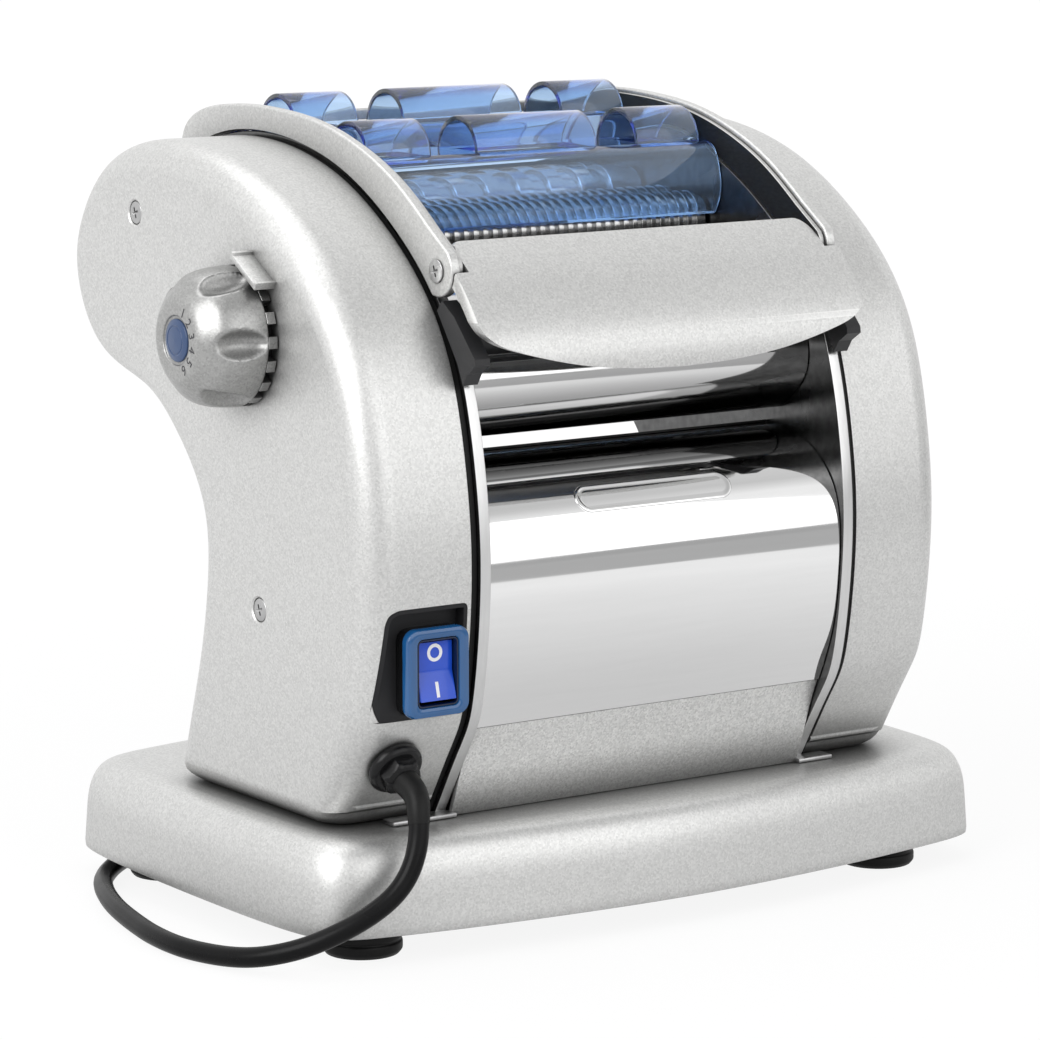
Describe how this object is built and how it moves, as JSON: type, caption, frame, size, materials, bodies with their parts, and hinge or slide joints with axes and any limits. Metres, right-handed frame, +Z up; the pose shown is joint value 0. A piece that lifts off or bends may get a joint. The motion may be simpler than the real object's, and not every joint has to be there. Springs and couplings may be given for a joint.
{
  "type": "electric pasta maker",
  "caption": "Table-top motor-driven pasta maker with smooth rollers, narrow and wide cutters, hinged clear guard, thickness knob, rocker switch and mains cord.",
  "frame": {"origin": "centre of the machine's footprint on the surface it stands on, its cord left out", "axes": "+X to the machine's right, +Y to its back, +Z up; it faces -Y"},
  "size_m": [0.3317, 0.3388, 0.2917],
  "materials": {
    "silver_paint": "satin silver paint",
    "textured_paint": "fine speckled silver coating",
    "polished_steel": "mirror polished stainless steel",
    "satin_steel": "satin steel",
    "gear_steel": "machined steel",
    "black_plastic": "black moulded plastic",
    "dark_plastic": "dark grey moulded plastic",
    "black_rubber": "matte rubber",
    "clear_blue": "clear blue moulded plastic",
    "switch_blue": "glossy blue rocker",
    "boot_blue": "soft blue clear boot",
    "cap_blue": "glossy dark blue",
    "cord_black": "black flexible sheath"
  },
  "bodies": {
    "machine": {"base_tray": "silver_paint", "base_plate": "black_plastic", "foot_front_left": "black_rubber", "foot_front_right": "black_rubber", "foot_rear_left": "black_rubber", "foot_rear_right": "black_rubber", "right_cheek": "satin_steel", "left_cheek": "satin_steel", "tie_rod_front": "gear_steel", "tie_rod_rear": "gear_steel", "right_casing": "silver_paint", "left_casing": "silver_paint", "right_casing_screw_upper": "satin_steel", "left_casing_screw_upper": "satin_steel", "right_casing_screw_lower": "satin_steel", "left_casing_screw_lower": "satin_steel", "right_seam_gasket": "black_plastic", "left_seam_gasket": "black_plastic", "lower_cover": "polished_steel", "front_panel": "textured_paint", "rear_panel": "textured_paint", "upper_cover": "polished_steel", "rear_cover": "polished_steel", "apron": "silver_paint", "right_apron_bracket": "dark_plastic", "left_apron_bracket": "dark_plastic", "right_hood_screw": "satin_steel", "left_hood_screw": "satin_steel", "hood_axle": "gear_steel", "motor": "gear_steel", "cutter_comb": "satin_steel", "switch_boot": "boot_blue", "switch_body": "black_plastic", "cord_gland": "black_plastic", "cord": "cord_black", "cord_coil": "cord_black", "cord_tie": "black_rubber", "cord_plug": "black_plastic"},
    "hood": {"hood_frame": "silver_paint", "right_hood_liner": "dark_plastic", "left_hood_liner": "dark_plastic", "guard": "clear_blue"},
    "fixed_roller": {"smooth_roller_fixed": "polished_steel", "roller_gear": "gear_steel"},
    "roller_carriage": {"right_roller_bearing": "gear_steel", "left_roller_bearing": "gear_steel"},
    "sliding_roller": {"smooth_roller_sliding": "polished_steel"},
    "narrow_front": {"narrow_cutter_front": "satin_steel"},
    "narrow_rear": {"narrow_cutter_rear": "satin_steel", "narrow_cutter_gear": "gear_steel"},
    "wide_front": {"wide_cutter_front": "satin_steel", "wide_cutter_gear": "gear_steel"},
    "wide_rear": {"wide_cutter_rear": "satin_steel"},
    "main_gear": {"main_gear": "gear_steel"},
    "lay_gear": {"lay_gear": "gear_steel"},
    "pinion": {"motor_pinion": "gear_steel"},
    "adjuster": {"adjuster_spindle": "satin_steel"},
    "knob": {"knob": "silver_paint", "knob_cap": "cap_blue"},
    "rocker": {"switch_rocker": "switch_blue"}
  },
  "joints": [
    {"name": "roller_spin", "type": "hinge", "parent": "machine", "child": "fixed_roller", "pos_m": [-0.00275, -0.04878, 0.2126], "axis": [1, 0, 0], "continuous": true},
    {"name": "hood_open", "type": "hinge", "parent": "machine", "child": "hood", "pos_m": [-0.00275, -0.07938, 0.238], "axis": [1, 0, 0], "range_deg": [0, 70]},
    {"name": "knob_turn", "type": "hinge", "parent": "machine", "child": "adjuster", "pos_m": [-0.00275, -0.01938, 0.2126], "axis": [1, 0, 0], "range_deg": [0, 150]},
    {"name": "knob_pull", "type": "slide", "parent": "adjuster", "child": "knob", "axis": [-1, 0, 0], "range_m": [0, 0.004], "stiffness_N_per_m": 900, "springref_m": -0.002},
    {"name": "roller_gap", "type": "slide", "parent": "machine", "child": "roller_carriage", "axis": [0, -1, 0], "range_m": [0, 0.0012]},
    {"name": "sliding_roller_spin", "type": "hinge", "parent": "roller_carriage", "child": "sliding_roller", "pos_m": [-0.00275, -0.01878, 0.2126], "axis": [1, 0, 0], "continuous": true},
    {"name": "narrow_rear_spin", "type": "hinge", "parent": "machine", "child": "narrow_rear", "pos_m": [-0.00275, 0.01212, 0.2415], "axis": [1, 0, 0], "continuous": true},
    {"name": "narrow_front_spin", "type": "hinge", "parent": "machine", "child": "narrow_front", "pos_m": [-0.00275, -0.00988, 0.2415], "axis": [1, 0, 0], "continuous": true},
    {"name": "wide_front_spin", "type": "hinge", "parent": "machine", "child": "wide_front", "pos_m": [-0.00275, 0.03732, 0.2479], "axis": [1, 0, 0], "continuous": true},
    {"name": "wide_rear_spin", "type": "hinge", "parent": "machine", "child": "wide_rear", "pos_m": [-0.00275, 0.05932, 0.2479], "axis": [1, 0, 0], "continuous": true},
    {"name": "main_gear_spin", "type": "hinge", "parent": "machine", "child": "main_gear", "pos_m": [-0.00275, -0.0053, 0.19528], "axis": [1, 0, 0], "continuous": true},
    {"name": "lay_gear_spin", "type": "hinge", "parent": "machine", "child": "lay_gear", "pos_m": [-0.00275, -0.02101, 0.15211], "axis": [1, 0, 0], "continuous": true},
    {"name": "pinion_spin", "type": "hinge", "parent": "machine", "child": "pinion", "pos_m": [-0.00275, -0.03322, 0.11857], "axis": [1, 0, 0], "continuous": true},
    {"name": "switch_rock", "type": "hinge", "parent": "machine", "child": "rocker", "pos_m": [-0.1022, -0.10028, 0.1028], "axis": [1, 0, 0], "range_deg": [0, 16]}
  ],
  "couplings": [
    {"joint": "sliding_roller_spin", "follows": "roller_spin", "ratio": -1},
    {"joint": "narrow_rear_spin", "follows": "roller_spin", "ratio": 0.8},
    {"joint": "narrow_front_spin", "follows": "roller_spin", "ratio": -0.8},
    {"joint": "wide_front_spin", "follows": "roller_spin", "ratio": -0.8},
    {"joint": "wide_rear_spin", "follows": "roller_spin", "ratio": 0.8},
    {"joint": "main_gear_spin", "follows": "roller_spin", "ratio": -0.28571},
    {"joint": "lay_gear_spin", "follows": "roller_spin", "ratio": 1.0909},
    {"joint": "pinion_spin", "follows": "roller_spin", "ratio": -5.0909},
    {"joint": "knob_turn", "follows": "roller_gap", "rad_per_m": 2181.4}
  ]
}
